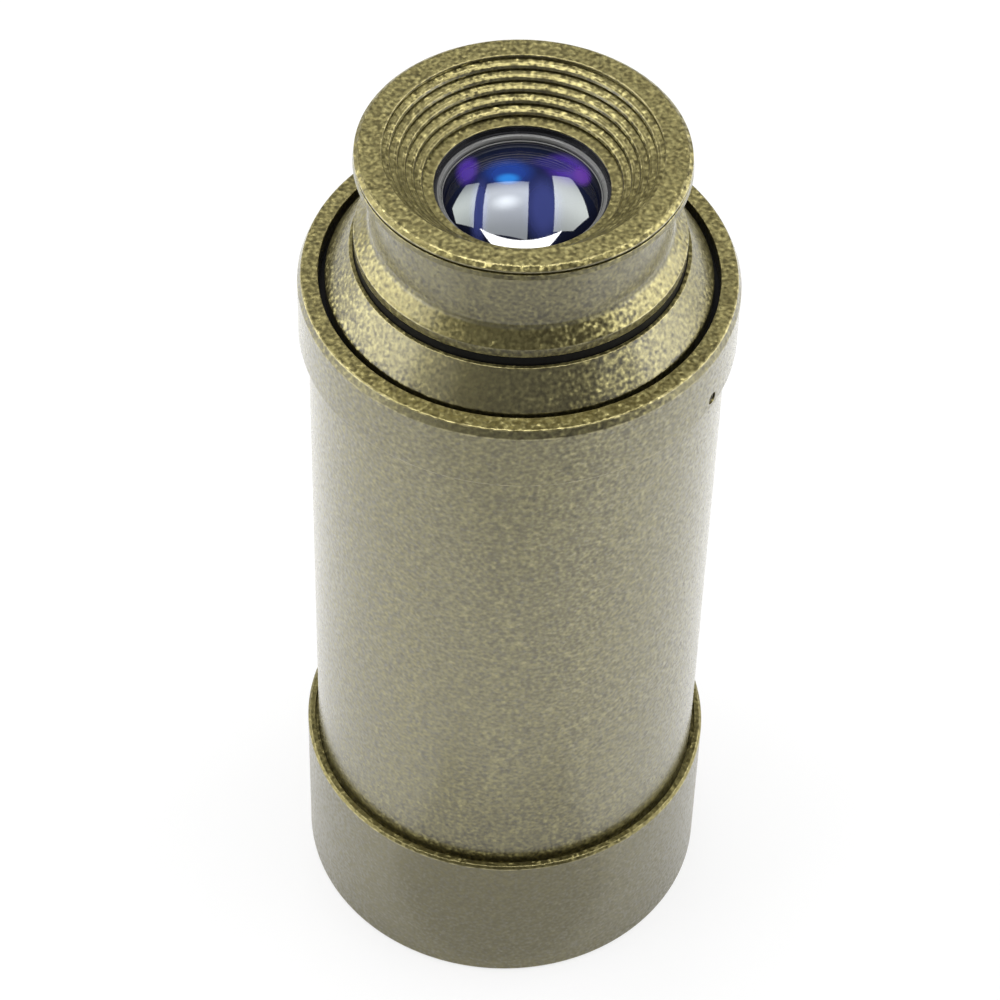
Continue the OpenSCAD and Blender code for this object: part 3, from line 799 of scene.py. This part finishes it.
turn_piece(
    "housing",
    "eye_draw",
    "eyepiece_housing",
    [
        (FIELD_BORE_R, HOUSING_FOOT, 0),
        (FIELD_BORE_R + NOSE_WALL, HOUSING_FOOT, 0.1),
        (FIELD_BORE_R + NOSE_WALL, EYE_TUBE_TOP - SPIGOT_LENGTH, 0),
        (SPIGOT_R, EYE_TUBE_TOP - SPIGOT_LENGTH, 0.1),
        (SPIGOT_R, EYE_TUBE_TOP, 0),
        (FLANGE_R, EYE_TUBE_TOP, 0.06),
        (FLANGE_R, FLANGE_TOP - FLANGE_EDGE, 0.15),
        (FLANGE_R - FLANGE_EDGE, FLANGE_TOP, 0.10),
        (NECK_R, FLANGE_TOP + CHAMFER_HEIGHT + 2 * NECK_STEP, 1.2),
        (NECK_R, COVE_FOOT, 0.3),
        *cove,
        (BAND_R, BAND_FOOT, 0.2),
        (BAND_R - BAND_LEAN, HOUSING_TOP - RIM_GROOVE, 0.08),
        (BAND_R - BAND_LEAN - 2 * RIM_GROOVE, HOUSING_TOP - RIM_GROOVE, 0.03),
        (BAND_R - BAND_LEAN - 2 * RIM_GROOVE, HOUSING_TOP, 0.03),
        (PLUG_BORE_R, HOUSING_TOP, 0.05),
        (PLUG_BORE_R, CUP_FOOT, 0),
        (RING_R + THREAD_GAP, CUP_FOOT, 0),
        (RING_R + THREAD_GAP, RING_FOOT, 0),
        (LENS_R + THREAD_GAP, RING_FOOT, 0),
        (LENS_R + THREAD_GAP, LENS_FOOT, 0),
        (SHELF_R, LENS_FOOT, 0),
        (SHELF_R, LENS_FOOT - SHELF_HEIGHT, 0),
        (FIELD_BORE_R, LENS_FOOT - SHELF_HEIGHT, 0),
    ],
    blackened=lambda r, z: r < PLUG_BORE_R + 0.1 or z < EYE_TUBE_TOP - 0.01,
)

# %% [markdown]
# **Eyecup.** The flat rim and a funnel of six steps. On the real cup each tread is a rounded bead
# that rolls down towards the lens, and the tool left a thin slot at the foot of each riser, which
# is why every step shows as a bright band over a thin dark line. The beads and slots are in the
# outline, for each step in a loop. The first slot is shallower, because the plug's wall is thin
# there.

# %% Turn the eyecup
RIM_HEIGHT, RIM_BEVEL, MOUTH_WALL, FUNNEL_R = 0.5, 0.42, 0.5, 7.8
STEPS, FUNNEL_DEPTH, FIRST_DROP = 6, 4.2, 0.50
SLOT_DEPTH, FIRST_SLOT_DEPTH, SLOT_HEIGHT, FOOT_SLOT_HEIGHT = 0.30, 0.20, 0.28, 0.12
BEAD = ((0, 0, 0.2), (0.50, 0.09, 0.4), (0.82, 0.22, 0.2))  # share of a tread, drop, rounding
PLUG_R = PLUG_BORE_R - THREAD_GAP
STEP_HEIGHT = (FUNNEL_DEPTH - FIRST_DROP) / (STEPS - 1)
STEP_WIDTH = (PLUG_R - MOUTH_WALL - FUNNEL_R) / STEPS
CUP_MOUTH_R = PLUG_R - MOUTH_WALL + STEP_WIDTH / 3
steps = []
for k in range(STEPS):
    r, z = CUP_MOUTH_R - k * STEP_WIDTH, CUP_TOP - FIRST_DROP - k * STEP_HEIGHT
    slot_r = r + (SLOT_DEPTH if k > 0 else FIRST_SLOT_DEPTH)
    steps += [(r, z + SLOT_HEIGHT, 0.05), (slot_r, z + SLOT_HEIGHT, 0.04), (slot_r, z, 0.04)]
    if k < STEPS - 1:
        steps += [(r - share * STEP_WIDTH, z - drop, edge) for share, drop, edge in BEAD]
turn_piece(
    "eyecup",
    "eye_draw",
    "eyecup",
    [
        (PLUG_R, CUP_FOOT, 0),
        (PLUG_R, CUP_TOP - RIM_HEIGHT, 0.03),
        (CUP_R, CUP_TOP - RIM_HEIGHT, 0.07),
        (CUP_R, CUP_TOP - RIM_BEVEL * 0.8, 0.12),
        (CUP_R - RIM_BEVEL, CUP_TOP, 0.30),
        (CUP_MOUTH_R, CUP_TOP, 0.12),
        *steps,
        (FUNNEL_R, CUP_FOOT + 2 * FOOT_SLOT_HEIGHT, 0.10),
        (FUNNEL_R, CUP_FOOT + FOOT_SLOT_HEIGHT, 0.03),
        (FUNNEL_R + SLOT_DEPTH, CUP_FOOT + FOOT_SLOT_HEIGHT, 0.03),
        (FUNNEL_R + SLOT_DEPTH, CUP_FOOT, 0.03),
    ],
)

# %% [markdown]
# ** Eye lens and its ring.** The lens is a dome of glass with a flat back. Its outline follows the true sphere, so the lamps are reflected where the real lens shows them. A black ring holds it down. From outside to inside it has a shoulder, a rounded ledge, which is painted grey as a painted highlight, and a thin edge on the glass, and the last two catch the light as thin crescents.

# %% Turn the lens and the ring
LENS_CURVE, LENS_ARCS = 17.5, 40
dome = []
for k in range(LENS_ARCS + 1):
    r = LENS_R * (1 - k / LENS_ARCS)
    dome.append((r, LENS_TOP - LENS_CURVE + math.sqrt(LENS_CURVE**2 - r**2), 0))
eye_lens = turn_piece(
    "eye_lens_glass",
    "eye_draw",
    "eye_lens",
    [(0, LENS_FOOT, 0), (LENS_R, LENS_FOOT, 0.1), *dome],
    closed=False,
)
RING_BORE_R = RING_R - 1.7
LEDGE_R, LEDGE_WIDTH, LEDGE_DROP, SHOULDER_FALL = RING_BORE_R - 0.16, 0.50, 0.50, 0.02
GLASS_EDGE_R = RING_BORE_R - 0.30
GLASS_EDGE_FOOT, GLASS_EDGE_TOP = RING_FOOT + 0.16, RING_FOOT + 0.27
turn_piece(
    "lens_ring",
    "eye_draw",
    "eye_lens_retaining_ring",
    [
        (RING_BORE_R, RING_FOOT, 0),
        (RING_R, RING_FOOT, 0),
        (RING_R, RING_TOP, 0.05),
        (FUNNEL_R + THREAD_GAP, RING_TOP, 0.02),
        (FUNNEL_R, RING_TOP - LEDGE_DROP + SHOULDER_FALL, 0),
        (LEDGE_R + LEDGE_WIDTH, RING_TOP - LEDGE_DROP, 0),
        (LEDGE_R, RING_TOP - LEDGE_DROP, 0.36),
        (LEDGE_R, GLASS_EDGE_TOP, 0),
        (GLASS_EDGE_R, GLASS_EDGE_TOP, 0.10),
        (GLASS_EDGE_R, GLASS_EDGE_FOOT, 0),
    ],
)

# %% [markdown]
# **The pieces kept from the CAD model.** The tubes, bushes and inner optics have the right shape
# already, so they keep their CAD mesh and only take a finish, each by the slot that the record
# names for it.

# %% Finishes for the CAD nodes
for node, slot in SLOT_OF.items():
    for place in frame["nodes"][node].material_slots:
        place.material = FINISH_OF[slot]
print("dressed", len(SLOT_OF), "CAD nodes")

# %% [markdown]
# **The studio.** The photograph was taken on a white sheet, and the enamel tells where its lights
# were. The side of the barrel reflects the sheet. The cone is bright left and right and dark in
# front, so there are two soft boxes at the sides and a dark room behind the camera. The lens
# shows three long panes of light overhead and behind, and a pure white one right above. Each lamp
# is placed by the direction in which the object sees it.

# %% Lamps
EYE_HEIGHT, CEILING = 0.09, 0.9
SOFT_BOX_SIZE, SOFT_BOX_RADIANCE = (1.5, 1.15), 2.05


def lamp(name, centre, facing, size, radiance):
    """A rectangular lamp of a given brightness: its power is brightness times area times pi."""
    light = bpy.data.lights.new(name, "AREA")
    light.shape, light.size, light.size_y = "RECTANGLE", size[0], size[1]
    light.energy = radiance * size[0] * size[1] * math.pi
    holder = bpy.data.objects.new(name, light)
    turn = Vector(facing).to_track_quat("-Z", "Y").to_matrix().to_4x4()
    holder.matrix_world = Matrix.Translation(centre) @ turn
    bpy.context.collection.objects.link(holder)
    return holder


def ceiling_lamp(name, x_range, y_range, radiance):
    """A lamp overhead. Its edges are slopes of sight from the eyecup, per unit of height."""
    (x0, x1), (y0, y1) = x_range, y_range
    centre = ((x0 + x1) / 2 * CEILING, (y0 + y1) / 2 * CEILING, EYE_HEIGHT + CEILING)
    return lamp(name, centre, (0, 0, -1), ((x1 - x0) * CEILING, (y1 - y0) * CEILING), radiance)


body_lamps = [
    ceiling_lamp("left light", (-0.72, -0.49), (0.36, 1.35), 3.0),
    ceiling_lamp("middle light", (-0.38, 0.07), (0.20, 1.16), 3.2),
    ceiling_lamp("right light", (0.32, 0.72), (0.32, 1.62), 3.0),
    ceiling_lamp("overhead light", (-0.45, 0.45), (-0.28, 0.24), 6.2),
]
lamp("left soft box", (-1.25, -0.05, 0.50), (1, 0, -0.30), SOFT_BOX_SIZE, SOFT_BOX_RADIANCE)
lamp("right soft box", (1.25, 0.22, 0.50), (-1, 0, -0.30), SOFT_BOX_SIZE, SOFT_BOX_RADIANCE)
print("lamps:", len(bpy.data.lights))

# %% [markdown]
# The sheet is white to the camera, but it still takes the telescope's shadow, so near the object
# it mixes a lit white surface with a plain white one by Light Path, and far off it is plain. Six
# grey cards stand for the dark room and for the part of the sheet that it shades: three of them
# around the set, and three on the sheet in front of the telescope. Only reflections can see them.


# %% Floor and grey cards
def stage_sheet(name, corners):
    """A flat sheet that belongs to the studio, drawn in its own plane."""
    mesh = bpy.data.meshes.new(name)
    mesh.from_pydata([(x, y, 0) for x, y in corners], [], [range(len(corners))])
    sheet = bpy.data.objects.new(name, mesh)
    bpy.context.collection.objects.link(sheet)
    return sheet


def card(name, centre, facing, size):
    w, h = size[0] / 2, size[1] / 2
    sheet = stage_sheet(name, [(-w, -h), (w, -h), (w, h), (-w, h)])
    turn = Vector(facing).to_track_quat("Z", "Y").to_matrix().to_4x4()
    sheet.matrix_world = Matrix.Translation(centre) @ turn
    return sheet


def plain_share(f, camera, mirror):
    """How much plain white the camera sees, and how much reflections and glass see."""
    rays = ("Is Camera Ray", "Is Glossy Ray", "Is Transmission Ray")
    direct, glossy, through = f.node("ShaderNodeLightPath", out=rays)
    return direct * camera + glossy * mirror + through * mirror


paper = Finish("white_sheet")
fibre = paper.noise(paper.place(), 0.05, 4.0)
lit = paper.surface(
    Base_Color=paper.mix((0.80, 0.80, 0.80), (0.86, 0.86, 0.86), fibre),
    Roughness=0.9,
    Specular_IOR_Level=0.1,
)
far_off = paper.from_axis().clip(150, 400)
share = plain_share(paper, far_off * 0.25 + 0.75, 0.15)
paper.close(paper.node("ShaderNodeMixShader", {}, {0: share, 1: lit, 2: paper.glow(1.0)}))
card("floor", (0, 0, 0), (0, 0, 1), (8, 8)).data.materials.append(paper.material)

CARDS = {
    # centre and direction, width and height, and how grey it is
    "front card": ((0.3, -1.7, 0.95), (0, 1, 0), (2.9, 2.0), 0.32),
    "roof card": ((0, -0.2, EYE_HEIGHT + CEILING + 0.02), (0, 0, -1), (3.4, 3.6), 0.05),
    "back card": ((0, 1.7, 0.62), (0, -1, 0), (3.4, 1.0), 0.05),
    "table card": ((0.2, -1.0, 0.001), (0, 0, 1), (1.8, 1.4), 0.05),
    "foot card": ((0, -1.5 * BEZEL_R * MM, 0.0015), (0, 0, 1), (0.04, 0.020), 0.74),
    "near card": ((0, -8 * BEZEL_R * MM, 0.0012), (0, 0, 1), (0.5, 0.18), 0.82),
}
for name, (centre, facing, size, level) in CARDS.items():
    sheet, grey = card(name, centre, facing, size), Finish("grey " + name)
    grey.close(grey.glow(level))
    sheet.data.materials.append(grey.material)
    sheet.visible_camera = sheet.visible_diffuse = False
    sheet.visible_shadow = sheet.visible_transmission = False
print("cards:", len(CARDS))

# %% [markdown]
# The panes that the lens reflects are cards that shine on the lens alone, by light linking: glass
# throws back only a few hundredths of a lamp, so panes bright enough for it would burn out the
# enamel. The ceiling lamps light everything but the lens. The panes fade towards both ends, as
# windows do that are seen at a slant, and the middle one has the glow of a bulb behind it.


# %% Panes for the lens
def pane(name, corners, strength, colour=(1, 1, 1), fade=None, bulb=None):
    """A glowing sheet in the ceiling. The corners are slopes of sight, as for the lamps.

    The fade is a pair of slopes backwards, and the bulb is a brighter spot.
    """
    sheet = stage_sheet(name, [(x * CEILING, y * CEILING) for x, y in corners])
    sheet.location = (0, 0, EYE_HEIGHT + CEILING)
    shine = Finish(name)
    glow = strength
    if fade is not None:
        slope = shine.scaled(shine.place(), MM / CEILING)
        backwards = shine.part(slope, "Y")
        far_end = (1 - backwards.clip(*fade)) * 0.75 + 0.25  # a quarter is left at the far end
        near_end = backwards.clip(0.1, 0.75) * 0.45 + 0.55  # and about half at the near end
        glow = far_end * near_end * strength
        if bulb is not None:
            away = shine.length(shine.vector("SUBTRACT", slope, (*bulb, 0)))
            glow = glow + (1 - away.clip(0.0, 0.20)) * strength * 0.8
    shine.close(shine.glow(glow, colour))
    sheet.data.materials.append(shine.material)
    sheet.visible_camera = sheet.visible_shadow = False
    return sheet


BOW = [x / 25 for x in range(-10, 11)]
SKYLIGHT = [(x, 0.10 + 1.25 * x * x) for x in reversed(BOW)] + [(x, -0.14 + 2.7 * x * x) for x in BOW]
LEFT_PANE = [(-0.70, 0.50), (-0.47, 0.33), (-0.50, 1.32), (-0.70, 1.42), (-0.80, 0.85)]
MIDDLE_PANE = [(-0.37, 0.22), (0.06, 0.10), (0.07, 1.15), (-0.39, 1.19)]
RIGHT_PANE = [(0.31, 0.25), (0.53, 0.35), (0.76, 0.72), (0.73, 1.15), (0.67, 1.85), (0.37, 1.60)]
lens_lamps = [
    pane("left pane", LEFT_PANE, 15.0, (0.92, 1.0, 0.95), (0.7, 1.5)),
    pane("middle pane", MIDDLE_PANE, 15.5, (0.92, 0.98, 1.0), (0.8, 1.25), (-0.15, 0.65)),
    pane("right pane", RIGHT_PANE, 16.5, (0.94, 1.0, 0.95), (0.7, 1.9)),
    pane("skylight", SKYLIGHT, 45.0),
]


def shine_on(lamps, thing, state):
    """Light linking: let lamps shine only on one thing, or on everything but it."""
    group = bpy.data.collections.new(f"{state.lower()} {thing.name}")
    group.objects.link(thing)
    group.collection_objects[0].light_linking.link_state = state
    for holder in lamps:
        holder.light_linking.receiver_collection = group


shine_on(lens_lamps, eye_lens, "INCLUDE")
shine_on(body_lamps, eye_lens, "EXCLUDE")
print("panes:", len(lens_lamps))

# %% [markdown]
# The room around is plain white where it is looked at or reflected. As a light it is dimmer, so
# that the lamps still shape the telescope.

# %% The world
world = bpy.data.worlds.new("room")
bpy.context.scene.world = world
world.use_nodes = True
room = Finish("room", world.node_tree)
brightness = plain_share(room, 1.0, 1.0) * 0.6 + 0.4
around = room.node("ShaderNodeBackground", {}, {"Color": (1, 1, 1), "Strength": brightness})
room.close(around, "ShaderNodeOutputWorld")
print("stage set")

# %% [markdown]
# **The camera** was fitted to the circles of the photograph: it looks 48 degrees down from 35 cm
# away, a little left of the axis, and it is rolled slightly, because the telescope leans in the
# picture.

# %% Camera
TILT, ROLL = math.radians(48.25), math.radians(-1.709)
DISTANCE, TARGET = 0.3488, Vector((-0.001152, 0, 0.04987))
SENSOR_WIDTH, FOCAL_LENGTH = 36.0, 130.6
back = Vector((0, -math.cos(TILT), math.sin(TILT)))
right, up = Vector((1, 0, 0)), Vector((0, math.sin(TILT), math.cos(TILT)))
rolled_right = right * math.cos(ROLL) - up * math.sin(ROLL)
rolled_up = right * math.sin(ROLL) + up * math.cos(ROLL)
lens = bpy.data.cameras.new("camera")
lens.sensor_fit, lens.sensor_width, lens.lens = "HORIZONTAL", SENSOR_WIDTH, FOCAL_LENGTH
lens.clip_start = 0.01
camera = bpy.data.objects.new("camera", lens)
turn = Matrix((rolled_right, rolled_up, back)).transposed().to_4x4()
camera.matrix_world = Matrix.Translation(TARGET + back * DISTANCE) @ turn
bpy.context.collection.objects.link(camera)
bpy.context.scene.camera = camera
bpy.context.scene.view_settings.view_transform = "Standard"
print("camera at", [round(x, 4) for x in camera.location])
